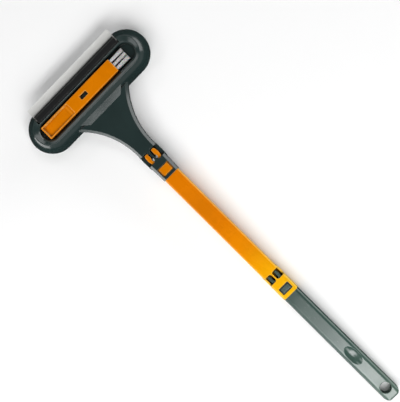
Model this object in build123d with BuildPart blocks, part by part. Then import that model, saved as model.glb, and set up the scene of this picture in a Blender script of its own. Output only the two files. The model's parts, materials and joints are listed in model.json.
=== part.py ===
from build123d import *

import math
import os

os.makedirs("parts", exist_ok=True)

# Window scrubber lying on its scrub pad, front face up, millimetres
# +Y runs from the grip to the squeegee, +X is the brush's bristle end

# Driving sizes: the plan of the tool
head_length = 200.0
head_depth = 62.2
neck_length = 120.6
pole_length = 216.5
grip_length = 187.0
blade_reach = 6.3

# Driving sizes: the layers of the head, from the floor up
cloth_thickness = 1.6
foam_thickness = 9.4
backing_thickness = 1.0
hook_thickness = 1.4
base_thickness = 2.0
cover_height = 25.0

# Head cover
cover_wall = 2.4
crest_wall = 3.2
crest_inset = 11.0
crest_round = 0.9
crest_slope_angle = 16.0
crest_slope_width = 9.1
shoulder_inset = 5.0
shoulder_drop = 7.0
flank_drop = 19.0
dock_end_land = 18.0
dock_depth = 25.6
dock_height = 15.0
dock_setback = 1.45
dock_lip = 0.8
dock_lip_angle = 45.0
neck_axis_rise = 8.6

# Neck and its socket
neck_width = 27.4
neck_thickness = 16.0
neck_bevel = 3.4
neck_bevel_angle = 45.0
neck_wall = 2.5
flare_start = 72.6
flare_radius = 105.0
flare_angle = 43.0
neck_root = 9.0
mouth_width = 25.0
socket_end_wall = 4.0
ramp_foot_setback = 2.6
ramp_foot_width = 55.0
ramp_head_width = 87.0
ramp_angle = 16.0
ramp_root = 6.0

# Pole and grip section
bar_width = 23.5
bar_thickness = 14.5
bar_corner = 4.4

# Socket bore and the spigot that fills it
bore_width = 20.0
bore_height = 11.0
bore_corner = 2.6
spigot_gap = 0.1
socket_depth = 45.0
plug_depth = 30.0

# Cheek windows in a socket
head_rib_width = 2.4
head_window_start = 25.8
head_window_length = 16.6
head_window_corner = 4.2
pole_rib_width = 1.9
pole_window_start = 25.0
pole_window_length = 12.1
pole_window_corner = 3.0
window_sink = 5.6
cheek_bulge = 0.9
collar_swell = 0.6
key_width = 1.4
key_setback = 1.2
peep_radius = 2.0
peep_spread = 2.8
peep_rise = 4.6

# Fork arms on a spigot: how far they reach from the axis at the root, the middle and the tip
head_arm_inner = 3.4
head_crotch_radius = 4.6
head_arm_reaches = (7.6, 9.2, 8.0)
pole_arm_inner = 3.9
pole_crotch_radius = 3.9
pole_arm_reaches = (6.9, 7.6, 7.0)
arm_end_gap = 1.5
arm_corner = 1.2

# Latch windows and buttons
head_latch_start = 3.6
head_latch_length = 13.1
head_latch_width = 18.4
pole_latch_start = 5.1
pole_latch_length = 10.2
pole_latch_width = 16.1
latch_corner = 1.2
head_button_gap = 0.9
button_side_gap = 1.8
pole_button_gap = 1.9
button_sink = 0.5
button_edge = 0.5
tongue_thickness = 2.0
tongue_setback = 14.0
tongue_tip = 1.0
tongue_side_gap = 0.4
hinge_gap = 0.06
press_room = 4.2

# Grip
grip_corner = 6.0
grip_end_corner = 9.0
grip_end_edge = 3.0
hang_radius = 7.35
hang_inset = 17.2
hang_edge = 0.6
dish_length = 29.5
dish_width = 15.6
dish_depth = 2.8
dish_inset = 75.5
mouth_corner = 2.0

# Squeegee
blade_end_inset = 26.5
blade_thickness = 1.8
blade_edge = 1.0
blade_bead = 3.0
blade_rise = 4.2
carrier_depth = 11.8
carrier_height = 8.6
carrier_chamfer = 0.9
carrier_end_gap = 1.3
carrier_seat_gap = 0.3
blade_notch_gap = 0.5
notch_sink = 11.5
dock_rim = 2.0
bead_setback = 7.0
ridge_width = 1.2
ridge_height = 0.5
ridge_inset = 1.6
clamp_setback = 2.2
clamp_pin_radius = 1.1
clamp_pin_length = 2.6
clamp_pins = 4
lug_width = 6.0
lug_head_width = 10.0
lug_head_height = 2.0
lug_length = 9.0
lug_gap = 0.25
lug_inset = 26.2

# Groove brush
brush_width = 19.8
brush_height = 13.0
brush_edge = 0.9
brush_corner = 1.4
brush_start_gap = 5.9
bristle_length = 21.3
bristle_end_gap = 12.8
scoop_inset = 1.9
scoop_length = 44.2
scoop_slope = 7.6
scoop_depth = 4.6
scoop_floor_depth = 2.8
scoop_bend_shares = (1 / 3, 3 / 4)
peg_slot_length = 11.5
peg_slot_width = 5.7
peg_gap = 1.0
peg_height = 9.0
peg_position = 69.7
tuft_radius = 2.45
tuft_pitch = 6.2
tuft_row_pitch = 6.1
strand_width = 0.4
strand_rings = 4
tuft_columns = 3
tuft_rows = 2
tuft_spread_share = 1.24
tuft_plate_thickness = 1.2
tuft_plate_margin = 0.35
tuft_root_length = 5.0
staple_width = 1.4
staple_thickness = 0.3
staple_setback = 2.0

# Screws that hold the base to the cover
screw_radius = 1.4
screw_length = 9.0
screw_head_radius = 2.8
screw_head_height = 1.5
screw_slot_width = 0.8
screw_slot_depth = 0.7
boss_radius = 3.6
end_boss_inset = 9.0
front_boss_spread = 22.0
rear_boss_spread = 40.0
front_boss_inset = 9.4
rear_boss_inset = 9.8

# Base plate
base_inset = 0.9
base_rim_height = 3.0
base_rim_width = 2.2
base_rim_gap = 0.2

# Scrub pad
pad_inset = 4.6
pad_draw_in = 2.2
pad_floor_round = 2.6
pad_round_shares = (0.25, 0.5)
pad_crown_height = 5.2
hook_inset = 9.0
binding_height = 3.4
binding_lip = 0.7

# One overrun serves every cut that has to pass through
overrun = 2.0

# A half turn, in degrees
half_turn = 180.0

# Lengths worked out from the sizes above
dock_length = head_length - 2 * dock_end_land
blade_length = head_length - 2 * blade_end_inset
brush_length = dock_length - brush_start_gap - bristle_length - bristle_end_gap
clamp_pin_pitch = blade_length / clamp_pins
carrier_half = blade_length / 2 - carrier_end_gap
lug_spread = carrier_half - lug_inset
tool_length = blade_reach + head_depth + neck_length + pole_length + grip_length
blade_tip_y = tool_length / 2
head_front_y = blade_tip_y - blade_reach
head_mid_y = head_front_y - head_depth / 2
head_rear_y = head_front_y - head_depth
pad_top = cloth_thickness + foam_thickness + backing_thickness
base_bottom = pad_top + hook_thickness
cover_bottom = base_bottom + base_thickness
crest = cover_bottom + cover_height
crest_fall = crest_slope_width * math.tan(math.radians(crest_slope_angle))
dock_floor = crest - dock_height
dock_mid_y = head_mid_y - dock_setback
notch_floor = crest - notch_sink
notch_rear_y = dock_mid_y + dock_depth / 2 + dock_rim
notch_half = blade_length / 2 + blade_notch_gap
neck_axis_height = cover_bottom + neck_axis_rise
peg_x = brush_start_gap - dock_length / 2 + peg_position
lug_front_y = notch_rear_y + carrier_seat_gap + carrier_depth

# The pole's axis leans down until the grip's end rests on the floor
reach_to_round = grip_end_edge - (neck_length + pole_length + grip_length)
drop_to_round = grip_end_edge - bar_thickness / 2
height_to_lose = grip_end_edge - neck_axis_height
lean_reach = math.hypot(reach_to_round, drop_to_round)
lean = math.atan2(reach_to_round, drop_to_round) + math.acos(height_to_lose / lean_reach)
axis_up = (0, -math.sin(lean), math.cos(lean))
axis_to_grip = (0, -math.cos(lean), -math.sin(lean))
pole_plane = Plane(origin=(0, head_rear_y, neck_axis_height), x_dir=(1, 0, 0), z_dir=axis_up)
neck_mouth = -neck_length
pole_mouth = neck_mouth - pole_length
grip_end = pole_mouth - grip_length


def level(height, y=0.0, x=0.0):
    """A plane parallel to the floor."""
    return Plane(origin=(x, y, height), x_dir=(1, 0, 0), z_dir=(0, 0, 1))


def across(station):
    """A plane square to the pole's axis, facing the grip, at a station along the axis."""
    place = pole_plane.from_local_coords(Vector(0, station, 0))
    return Plane(origin=place, x_dir=(1, 0, 0), z_dir=axis_to_grip)


def along(station, rise):
    """A plane parallel to the pole's flat face, with its origin at a station."""
    place = pole_plane.from_local_coords(Vector(0, station, rise))
    return Plane(origin=place, x_dir=(1, 0, 0), z_dir=axis_up)


def side_plane(station, rise, shift=0.0):
    """A plane seen from the side, its x along the axis to the head."""
    place = pole_plane.from_local_coords(Vector(shift, station, rise))
    return Plane(origin=place, x_dir=-Vector(*axis_to_grip), z_dir=(1, 0, 0))


def stadium(length, depth, height, y=head_mid_y):
    """A slot outline on a level plane."""
    with BuildSketch(level(height, y)) as outline:
        SlotOverall(length, depth)
    return outline.sketch


def bar_section(width, thickness, corner, station):
    """The rounded section of a pole, grip, bore or spigot."""
    with BuildSketch(across(station)) as section:
        RectangleRounded(width, thickness, corner)
    return section.sketch


def bore_section(station):
    """The section of a socket bore, which a plug glued into it fills."""
    return bar_section(bore_width, bore_height, bore_corner, station)


def half_section(x, depth, height):
    """Half of the head's cross-section: a bowed flank up to the ridge, and a slope down to the dock."""
    half = depth / 2
    top = cover_bottom + height
    ridge = (half - crest_inset, top)
    sunk = top - crest_fall
    with BuildSketch(Plane(origin=(x, head_mid_y, 0), x_dir=(0, 1, 0), z_dir=(1, 0, 0))) as section:
        with BuildLine():
            Polyline((0, sunk), (0, cover_bottom), (half, cover_bottom), (half, top - flank_drop))
            ThreePointArc(
                (half, top - flank_drop),
                (half - shoulder_inset, top - shoulder_drop),
                ridge,
            )
            Polyline(ridge, (half - crest_inset - crest_slope_width, sunk), (0, sunk))
        make_face()
        fillet(section.vertices().sort_by(Axis.Y)[-1], radius=crest_round)
    return section.sketch


def domed_stadium(length, depth, height):
    """The head's outer form, or the hollow inside it."""
    end = (length - depth) / 2
    with BuildPart() as dome:
        section = half_section(-end, depth, height)
        extrude(section, amount=2 * end)
        mirror(about=Plane.XZ.offset(-head_mid_y))
        revolve(section, axis=Axis((-end, head_mid_y, 0), (0, 0, 1)), revolution_arc=half_turn)
        section = half_section(end, depth, height)
        revolve(section, axis=Axis((end, head_mid_y, 0), (0, 0, -1)), revolution_arc=half_turn)
    return dome.part


def neck_plan(inset, start, rise):
    """The neck's plan, from a station near the mouth to its root inside the head."""
    sweep = math.radians(flare_angle)
    half = neck_width / 2 - inset
    mouth_half = mouth_width / 2 - inset
    radius = flare_radius + inset
    foot = (half + radius * (1 - math.cos(sweep)), radius * math.sin(sweep) - flare_start)
    root = (foot[0] + neck_root * math.sin(sweep), foot[1] + neck_root * math.cos(sweep))
    with BuildSketch(pole_plane.offset(rise)) as plan:
        with BuildLine():
            Polyline((0, start), (mouth_half, start), (half, -flare_start))
            JernArc(start=(half, -flare_start), tangent=(0, 1), radius=radius, arc_size=-flare_angle)
            Polyline(foot, root, (0, root[1]))
            mirror(about=Plane.YZ)
        make_face()
    return plan.sketch


def windows(mouth, start, length, corner, rib_width, outer_width):
    """The pair of cheek windows on each side of the centre rib."""
    reach = outer_width / 2 + overrun - rib_width / 2
    middle = rib_width / 2 + reach / 2
    with BuildSketch(along(mouth + start + length / 2, bore_height / 2 - window_sink)) as pair:
        with Locations((-middle, 0), (middle, 0)):
            RectangleRounded(reach, length, corner)
    return pair.sketch


def latch_window(mouth, start, length, width):
    """The window that the latch button looks out of."""
    with BuildSketch(along(mouth + start + length / 2, 0)) as window:
        RectangleRounded(width, length, latch_corner)
    return window.sketch


def peep_holes(mouth, start):
    """Two round holes in the rear wall, beside the key, that clear water from the socket."""
    with BuildSketch(along(mouth + start + peep_rise, 0)) as holes:
        with Locations((-peep_spread, 0), (peep_spread, 0)):
            Circle(peep_radius)
    return holes.sketch


def key_rib(mouth, start, depth):
    """The key inside a socket that the fork straddles."""
    low = mouth + start + key_setback
    high = mouth + depth
    with BuildSketch(along((low + high) / 2, -bore_height / 2)) as rib:
        Rectangle(key_width, high - low)
    return rib.sketch


def cheek(low, high, outer_width):
    """The swelling of the socket's flanks beside the windows."""
    base = outer_width / 2
    peak = base + cheek_bulge
    with BuildSketch(along(0, 0)) as lobe:
        with BuildLine():
            ThreePointArc((base, low), (peak, (low + high) / 2), (base, high))
            Polyline((base, high), (-base, high))
            ThreePointArc((-base, high), (-peak, (low + high) / 2), (-base, low))
            Polyline((-base, low), (base, low))
        make_face()
    return lobe.sketch


def collar(mouth, high, outer_width):
    """The slightly wider band from the socket's mouth to the far end of the windows."""
    with BuildSketch(along((mouth + high) / 2, 0)) as band:
        Rectangle(outer_width + 2 * collar_swell, high - mouth)
        fillet(band.vertices(), radius=collar_swell)
    return band.sketch


# Head cover: crowned shell with dock, squeegee notch, neck and socket in one moulding
neck_socket_end = neck_mouth + socket_depth
cover_outside = domed_stadium(head_length, head_depth, cover_height)
cover_inside = domed_stadium(
    head_length - 2 * cover_wall,
    head_depth - 2 * cover_wall,
    cover_height - crest_wall,
)
front_boss_y = head_front_y - front_boss_inset
rear_boss_y = head_rear_y + rear_boss_inset
end_boss_x = head_length / 2 - end_boss_inset
boss_places = [
    (-end_boss_x, head_mid_y),
    (end_boss_x, head_mid_y),
    (-front_boss_spread, front_boss_y),
    (front_boss_spread, front_boss_y),
    (-rear_boss_spread, rear_boss_y),
    (rear_boss_spread, rear_boss_y),
]

with BuildPart() as cover_insides:
    # Dock tub, notch tub and screw bosses, trimmed to the crowned outline
    tub_length = dock_length + 2 * cover_wall
    tub_depth = dock_depth + 2 * cover_wall
    extrude(stadium(tub_length, tub_depth, dock_floor - cover_wall, dock_mid_y), amount=dock_height)
    with BuildSketch(level(notch_floor - cover_wall)):
        tub_front = head_front_y - notch_rear_y
        with Locations((0, notch_rear_y + tub_front / 2)):
            Rectangle(2 * (notch_half + cover_wall), tub_front)
    extrude(amount=notch_sink + cover_wall)
    with BuildSketch(level(cover_bottom)):
        with Locations(boss_places):
            Circle(boss_radius)
    extrude(amount=cover_height)
    add(cover_outside, mode=Mode.INTERSECT)

neck_front = neck_axis_height + neck_thickness / 2
ramp_foot_y = head_rear_y - ramp_foot_setback
ramp_head_y = head_rear_y + crest_inset
ramp_rise = (ramp_head_y - ramp_foot_y) * math.tan(math.radians(ramp_angle))

with BuildPart() as ramp:
    # Wedge from the neck's front face up into the flank, wider at the head
    with BuildSketch(level(neck_front - ramp_root)):
        with BuildLine():
            Polyline(
                (-ramp_foot_width / 2, ramp_foot_y),
                (ramp_foot_width / 2, ramp_foot_y),
                (ramp_head_width / 2, ramp_head_y),
                (-ramp_head_width / 2, ramp_head_y),
                close=True,
            )
        make_face()
    extrude(amount=ramp_root + ramp_rise)
    with BuildSketch(Plane.YZ):
        with BuildLine():
            Polyline(
                (ramp_foot_y, neck_front),
                (ramp_head_y, neck_front + ramp_rise),
                (ramp_head_y, neck_front - ramp_root),
                (ramp_foot_y, neck_front - ramp_root),
                close=True,
            )
        make_face()
    extrude(amount=ramp_head_width / 2, both=True, mode=Mode.INTERSECT)

with BuildPart() as head_cover:
    add(cover_outside)

    # Neck: straight flanks with a bevelled front and back
    flank = neck_thickness / 2 - neck_bevel
    plan_start = neck_mouth - neck_bevel
    extrude(neck_plan(0, plan_start, -flank), amount=2 * flank)
    extrude(neck_plan(0, plan_start, flank), amount=neck_bevel, taper=neck_bevel_angle)
    back_plan = neck_plan(0, plan_start, -flank)
    extrude(back_plan, amount=-neck_bevel, taper=neck_bevel_angle)
    with BuildSketch(across(neck_mouth)):
        Rectangle(2 * neck_width, 2 * neck_thickness)
    extrude(amount=2 * neck_bevel, mode=Mode.SUBTRACT)

    add(ramp.part)

    # Hollow the shell and the neck
    add(cover_inside, mode=Mode.SUBTRACT)
    hollow_start = neck_socket_end + socket_end_wall
    hollow_half = neck_thickness / 2 - neck_wall
    extrude(neck_plan(neck_wall, hollow_start, -hollow_half), amount=2 * hollow_half, mode=Mode.SUBTRACT)
    add(cover_insides.part)

    # Cheeks, socket bore, key, windows and water holes
    neck_cheek_start = neck_mouth + head_window_start - head_window_corner
    neck_cheek_end = neck_mouth + head_window_start + head_window_length + head_window_corner
    extrude(
        cheek(neck_cheek_start, neck_cheek_end, neck_width),
        amount=neck_thickness / 2 - bar_corner,
        both=True,
    )
    extrude(bore_section(neck_mouth), amount=-socket_depth, mode=Mode.SUBTRACT)
    extrude(key_rib(neck_mouth, head_window_start, socket_depth), amount=bore_height)
    extrude(
        windows(
            neck_mouth,
            head_window_start,
            head_window_length,
            head_window_corner,
            head_rib_width,
            neck_width + 2 * cheek_bulge,
        ),
        amount=neck_thickness,
        mode=Mode.SUBTRACT,
    )
    extrude(
        latch_window(neck_mouth, head_latch_start, head_latch_length, head_latch_width),
        amount=neck_thickness,
        mode=Mode.SUBTRACT,
    )
    extrude(peep_holes(neck_mouth, head_window_start), amount=-neck_thickness, mode=Mode.SUBTRACT)

    # Dock pocket with a flared lip, and the peg that snaps into the brush
    extrude(
        stadium(dock_length, dock_depth, dock_floor, dock_mid_y),
        amount=dock_height + overrun,
        mode=Mode.SUBTRACT,
    )
    lip_depth = crest_fall + dock_lip
    extrude(
        stadium(dock_length, dock_depth, crest - lip_depth, dock_mid_y),
        amount=lip_depth,
        taper=-dock_lip_angle,
        mode=Mode.SUBTRACT,
    )
    with BuildSketch(level(dock_floor, dock_mid_y, peg_x)):
        RectangleRounded(peg_slot_length - 2 * peg_gap, peg_slot_width - 2 * peg_gap, peg_gap)
    extrude(amount=peg_height)

    # Squeegee notch with two T slots that open to the front
    notch_depth = head_front_y + overrun - notch_rear_y
    with BuildSketch(level(notch_floor, notch_rear_y + notch_depth / 2)):
        Rectangle(2 * notch_half, notch_depth)
    extrude(amount=notch_sink + overrun, mode=Mode.SUBTRACT)
    slot_rear_y = lug_front_y - lug_length - lug_gap
    slot_length = head_front_y + overrun - slot_rear_y
    slot_middle = slot_rear_y + slot_length / 2
    with BuildSketch(level(notch_floor - cover_wall, slot_middle)):
        with Locations((-lug_spread, 0), (lug_spread, 0)):
            Rectangle(lug_width + 2 * lug_gap, slot_length)
    extrude(amount=cover_wall, mode=Mode.SUBTRACT)
    with BuildSketch(level(notch_floor - cover_wall, slot_middle)):
        with Locations((-lug_spread, 0), (lug_spread, 0)):
            Rectangle(lug_head_width + 2 * lug_gap, slot_length)
    extrude(amount=-(lug_head_height + 2 * lug_gap), mode=Mode.SUBTRACT)

    # Pilot holes up the screw bosses
    with BuildSketch(level(cover_bottom)):
        with Locations(boss_places):
            Circle(screw_radius)
    extrude(amount=screw_length - base_thickness + screw_head_height, mode=Mode.SUBTRACT)

# Base plate: closes the shell from behind and carries the hook sheet
with BuildPart() as head_base:
    base_length = head_length - 2 * base_inset
    base_depth = head_depth - 2 * base_inset
    extrude(stadium(base_length, base_depth, base_bottom), amount=base_thickness)
    rim_inset = cover_wall + base_rim_gap
    extrude(
        stadium(head_length - 2 * rim_inset, head_depth - 2 * rim_inset, cover_bottom),
        amount=base_rim_height,
    )
    rim_inner = rim_inset + base_rim_width
    extrude(
        stadium(head_length - 2 * rim_inner, head_depth - 2 * rim_inner, cover_bottom),
        amount=base_rim_height,
        mode=Mode.SUBTRACT,
    )
    with BuildSketch(level(cover_bottom)):
        with Locations(boss_places):
            Circle(boss_radius + base_rim_gap)
    extrude(amount=base_rim_height, mode=Mode.SUBTRACT)
    with BuildSketch(level(base_bottom)):
        with Locations(boss_places):
            Circle(screw_radius)
    extrude(amount=base_thickness, mode=Mode.SUBTRACT)
    with BuildSketch(level(base_bottom)):
        with Locations(boss_places):
            Circle(screw_head_radius)
    extrude(amount=screw_head_height, mode=Mode.SUBTRACT)

# Six pan-head screws with a straight slot, seated flush in the base
with BuildPart() as cover_screws:
    with BuildSketch(level(base_bottom)):
        with Locations(boss_places):
            Circle(screw_head_radius)
    extrude(amount=screw_head_height)
    with BuildSketch(level(base_bottom + screw_head_height)):
        with Locations(boss_places):
            Circle(screw_radius)
    extrude(amount=screw_length)
    with BuildSketch(level(base_bottom)):
        with Locations(boss_places):
            Rectangle(2 * screw_head_radius, screw_slot_width)
    extrude(amount=screw_slot_depth, mode=Mode.SUBTRACT)

# Hook sheet glued to the base
with BuildPart() as hook_sheet:
    hook_length = head_length - 2 * hook_inset
    hook_depth = head_depth - 2 * hook_inset
    extrude(stadium(hook_length, hook_depth, pad_top), amount=hook_thickness)

# Scrub pad: foam core in a cloth cover with a loop backing and a sewn edge binding
pad_length = head_length - 2 * pad_inset
pad_depth = head_depth - 2 * pad_inset


def pad_ring(inset, height):
    """One outline of the pad, drawn in by an inset."""
    return stadium(pad_length - 2 * inset, pad_depth - 2 * inset, height)


with BuildPart() as pad_foam:
    foam_top = cloth_thickness + foam_thickness
    foam_inset = pad_draw_in + cloth_thickness
    extrude(pad_ring(foam_inset, cloth_thickness), amount=foam_thickness)
    fillet(pad_foam.faces().sort_by(Axis.Z)[0].edges(), radius=pad_floor_round - cloth_thickness / 2)

with BuildPart() as pad_cloth:
    loft(
        sections=[
            pad_ring(pad_floor_round, 0),
            pad_ring(pad_floor_round * pad_round_shares[0], pad_floor_round * pad_round_shares[1]),
            pad_ring(0, pad_crown_height),
            pad_ring(pad_draw_in, foam_top),
        ],
        ruled=True,
    )
    add(pad_foam.part, mode=Mode.SUBTRACT)

with BuildPart() as pad_backing:
    extrude(pad_ring(pad_draw_in, foam_top), amount=backing_thickness)

with BuildPart() as pad_binding:
    binding_floor = pad_top - binding_height
    extrude(pad_ring(pad_draw_in - binding_lip, binding_floor), amount=binding_height)
    add(pad_cloth.part, mode=Mode.SUBTRACT)
    add(pad_foam.part, mode=Mode.SUBTRACT)
    add(pad_backing.part, mode=Mode.SUBTRACT)

# Squeegee carrier: lower jaw, rear wall and two T lugs, extruded from its side profile
carrier_rear_y = notch_rear_y + carrier_seat_gap
carrier_front_y = carrier_rear_y + carrier_depth
carrier_top = notch_floor + carrier_height
blade_mid_z = notch_floor + blade_rise
blade_low = blade_mid_z - blade_thickness / 2
blade_high = blade_mid_z + blade_thickness / 2
bead_rear_y = carrier_front_y - bead_setback
clamp_rear_y = carrier_rear_y + clamp_setback
clamp_pin_y = (clamp_rear_y + bead_rear_y) / 2


def side_profile(*points):
    """A closed outline in the side view, which an extrusion along X makes a rail of."""
    with BuildSketch(Plane.YZ) as side:
        with BuildLine():
            Polyline(*points, close=True)
        make_face()
    return side.sketch


with BuildPart() as squeegee_blade:
    extrude(
        side_profile(
            (bead_rear_y, blade_mid_z - blade_bead / 2),
            (bead_rear_y + blade_bead, blade_mid_z - blade_bead / 2),
            (bead_rear_y + blade_bead, blade_low),
            (carrier_front_y, blade_low),
            (blade_tip_y, blade_mid_z - blade_edge / 2),
            (blade_tip_y, blade_mid_z + blade_edge / 2),
            (carrier_front_y, blade_high),
            (bead_rear_y + blade_bead, blade_high),
            (bead_rear_y + blade_bead, blade_mid_z + blade_bead / 2),
            (bead_rear_y, blade_mid_z + blade_bead / 2),
        ),
        amount=blade_length / 2,
        both=True,
    )

with BuildPart() as squeegee_clamp:
    extrude(
        side_profile(
            (clamp_rear_y, blade_high),
            (carrier_front_y, blade_high),
            (carrier_front_y, carrier_top - carrier_chamfer),
            (carrier_front_y - carrier_chamfer, carrier_top),
            (carrier_front_y - ridge_inset, carrier_top),
            (carrier_front_y - ridge_inset, carrier_top + ridge_height),
            (carrier_front_y - ridge_inset - ridge_width, carrier_top + ridge_height),
            (carrier_front_y - ridge_inset - ridge_width, carrier_top),
            (clamp_rear_y, carrier_top),
        ),
        amount=carrier_half,
        both=True,
    )
    with BuildSketch(level(blade_high, clamp_pin_y)):
        with GridLocations(clamp_pin_pitch, clamp_pin_radius, clamp_pins, 1):
            Circle(clamp_pin_radius)
    extrude(amount=-clamp_pin_length)
    add(squeegee_blade.part, mode=Mode.SUBTRACT)

with BuildPart() as squeegee_carrier:
    extrude(
        side_profile(
            (carrier_rear_y, notch_floor),
            (carrier_front_y, notch_floor),
            (carrier_front_y, blade_low),
            (carrier_front_y, blade_high),
            (clamp_rear_y, blade_high),
            (clamp_rear_y, carrier_top),
            (carrier_rear_y + carrier_chamfer, carrier_top),
            (carrier_rear_y, carrier_top - carrier_chamfer),
        ),
        amount=carrier_half,
        both=True,
    )
    add(squeegee_blade.part, mode=Mode.SUBTRACT)
    add(squeegee_clamp.part, mode=Mode.SUBTRACT)
    lug_middle = lug_front_y - lug_length / 2
    with BuildSketch(level(notch_floor, lug_middle)):
        with Locations((-lug_spread, 0), (lug_spread, 0)):
            Rectangle(lug_width, lug_length)
    extrude(amount=-(cover_wall + lug_gap))
    with BuildSketch(level(notch_floor - cover_wall - lug_gap, lug_middle)):
        with Locations((-lug_spread, 0), (lug_spread, 0)):
            Rectangle(lug_head_width, lug_length)
    extrude(amount=-lug_head_height)

# Groove brush handle: rounded bar with a thumb scoop, a peg slot and drilled tuft holes
brush_start = brush_start_gap - dock_length / 2
brush_end = brush_start + brush_length
brush_top = dock_floor + brush_height
brush_mid_z = dock_floor + brush_height / 2
tuft_places = GridLocations(tuft_pitch, tuft_row_pitch, tuft_columns, tuft_rows)
brush_face = Plane(origin=(brush_end, dock_mid_y, brush_mid_z), x_dir=(0, 1, 0), z_dir=(1, 0, 0))
plate_width = tuft_pitch * (tuft_columns - 1) + 2 * (tuft_radius + tuft_plate_margin)
plate_height = tuft_row_pitch * (tuft_rows - 1) + 2 * (tuft_radius + tuft_plate_margin)

with BuildPart() as groove_brush_handle:
    with BuildSketch(level(dock_floor, dock_mid_y, brush_start + brush_length / 2)):
        RectangleRounded(brush_length, brush_width, brush_corner)
    extrude(amount=brush_height)
    fillet(groove_brush_handle.faces().sort_by(Axis.Z)[-1].edges(), radius=brush_edge)
    scoop_start = brush_start + scoop_inset
    scoop_end = scoop_start + scoop_length
    scoop_half = brush_width / 2 - scoop_inset
    scoop_bend_z = brush_top - scoop_floor_depth * scoop_bend_shares[1]
    with BuildSketch(Plane.XZ.offset(-dock_mid_y)):
        with BuildLine():
            Polyline(
                (scoop_end, brush_top + overrun),
                (scoop_start, brush_top + overrun),
                (scoop_start, brush_top - scoop_depth),
                (scoop_end - scoop_slope, brush_top - scoop_floor_depth),
            )
            ThreePointArc(
                (scoop_end - scoop_slope, brush_top - scoop_floor_depth),
                (scoop_end - scoop_slope * scoop_bend_shares[0], scoop_bend_z),
                (scoop_end, brush_top),
            )
            Line((scoop_end, brush_top), (scoop_end, brush_top + overrun))
        make_face()
    extrude(amount=scoop_half, both=True, mode=Mode.SUBTRACT)
    with BuildSketch(level(dock_floor, dock_mid_y, peg_x)):
        RectangleRounded(peg_slot_length, peg_slot_width, peg_gap)
    extrude(amount=brush_height, mode=Mode.SUBTRACT)
    with BuildSketch(brush_face):
        Rectangle(plate_width, plate_height)
    extrude(amount=-tuft_plate_thickness, mode=Mode.SUBTRACT)
    with BuildSketch(brush_face):
        with tuft_places:
            Circle(tuft_radius)
    extrude(amount=-(tuft_plate_thickness + tuft_root_length), mode=Mode.SUBTRACT)

# Bristles: round tufts of square strands that spread slightly towards their tips
strand_pitch = (tuft_radius - strand_width / 2) / strand_rings


def strand_places():
    """Strand centres of one tuft, in six-sided rings round its middle."""
    places = []
    for row in range(-strand_rings, strand_rings + 1):
        count = 2 * strand_rings + 1 - abs(row)
        for column in range(count):
            across_x = (column - (count - 1) / 2) * strand_pitch
            places.append((across_x, row * strand_pitch * math.sin(math.radians(60))))
    return places


def strand(tuft_x, tuft_y, offset_x, offset_y):
    """One strand from the plate to its tip."""
    foot_place = Vector(tuft_x + offset_x, tuft_y + offset_y, -tuft_plate_thickness / 2)
    foot = brush_face.from_local_coords(foot_place)
    tip_x = tuft_x + offset_x * tuft_spread_share
    tip_y = tuft_y + offset_y * tuft_spread_share
    tip = brush_face.from_local_coords(Vector(tip_x, tip_y, bristle_length))
    with BuildSketch(Plane(origin=foot, x_dir=(0, 1, 0), z_dir=tip - foot), mode=Mode.PRIVATE) as end:
        Rectangle(strand_width, strand_width)
    return extrude(end.sketch, amount=(tip - foot).length, mode=Mode.PRIVATE)


strands = []
for tuft in tuft_places.locations:
    for place in strand_places():
        strands.append(strand(tuft.position.X, tuft.position.Y, place[0], place[1]))

with BuildPart() as groove_brush_bristles:
    with BuildSketch(brush_face):
        Rectangle(plate_width, plate_height)
    extrude(amount=-tuft_plate_thickness)
    with BuildSketch(brush_face.offset(-tuft_plate_thickness)):
        with tuft_places:
            Circle(tuft_radius)
    extrude(amount=-tuft_root_length)
    with BuildSketch(brush_face.offset(-tuft_plate_thickness - staple_setback)):
        with tuft_places:
            Rectangle(2 * tuft_radius, staple_thickness)
    extrude(amount=-staple_width, mode=Mode.SUBTRACT)
    add(strands)

# Wire staples that anchor the tufts in their holes
with BuildPart() as tuft_staples:
    with BuildSketch(brush_face.offset(-tuft_plate_thickness - staple_setback)):
        with tuft_places:
            Rectangle(2 * tuft_radius - staple_thickness, staple_thickness)
    extrude(amount=-staple_width)


def end_plan(end, length, corner):
    """The plan of a bar whose far end has rounded corners."""
    with BuildSketch(along(end + length / 2, -bar_thickness)) as plan:
        RectangleRounded(bar_width, length, corner)
        with Locations((0, corner)):
            Rectangle(bar_width, length)
    return plan.sketch


def end_profile(end, length, thickness, edge):
    """The side view of a bar whose far end has rounded front and back edges."""
    with BuildSketch(side_plane(end + length / 2, 0, -bar_width / 2)) as side:
        RectangleRounded(length, thickness, edge)
        with Locations((edge, 0)):
            Rectangle(length, thickness)
    return side.sketch


def arm_relief(mouth, arm_start, nose, reaches):
    """What is cut away outside the two bowed fork arms."""
    root_reach, middle_reach, tip_reach = reaches
    edge = bore_width / 2 + overrun
    with BuildSketch(along(mouth + arm_start, -bore_height / 2)) as sides:
        with BuildLine():
            ThreePointArc((root_reach, 0), (middle_reach, nose / 2), (tip_reach, nose))
            Polyline((tip_reach, nose), (edge, nose), (edge, 0), (root_reach, 0))
        make_face()
        mirror(about=Plane.YZ)
    return sides.sketch


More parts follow.
